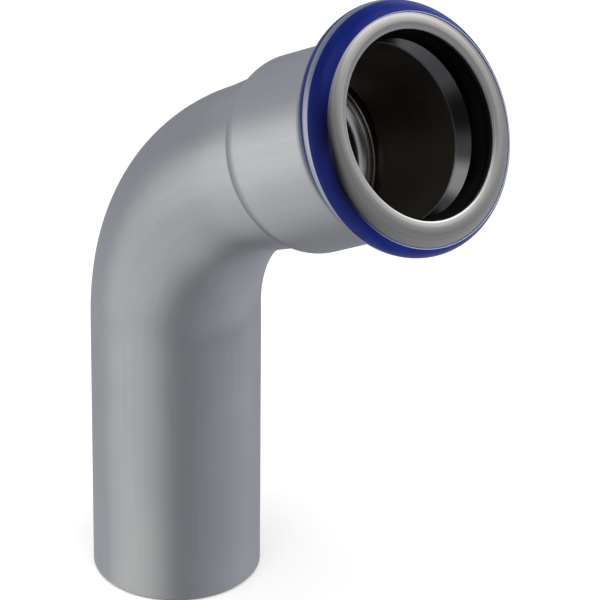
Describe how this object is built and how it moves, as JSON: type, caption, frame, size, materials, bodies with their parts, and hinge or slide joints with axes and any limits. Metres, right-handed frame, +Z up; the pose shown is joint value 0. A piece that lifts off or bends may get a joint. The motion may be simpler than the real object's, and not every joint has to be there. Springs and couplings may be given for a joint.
{
  "type": "press fit pipe bend",
  "caption": "Stainless steel press fit pipe bend with a plain end and a beaded press socket that holds a rubber seal ring under a coloured pressing indicator.",
  "frame": {"origin": "centre of the plain end's face, where the plain end goes into the next fitting", "axes": "+Z up along the plain end's axis, +X the way the bend turns, so that the socket opens along +X and +Z; the bend lies in the XZ plane"},
  "size_m": [0.0592, 0.0316, 0.0918],
  "materials": {
    "steel": "satin stainless steel",
    "seal": "black rubber",
    "indicator": "glossy dark blue plastic"
  },
  "bodies": {
    "root": {"bend_body": "steel", "seal_ring": "seal", "pressing_indicator": "indicator"}
  },
  "joints": []
}
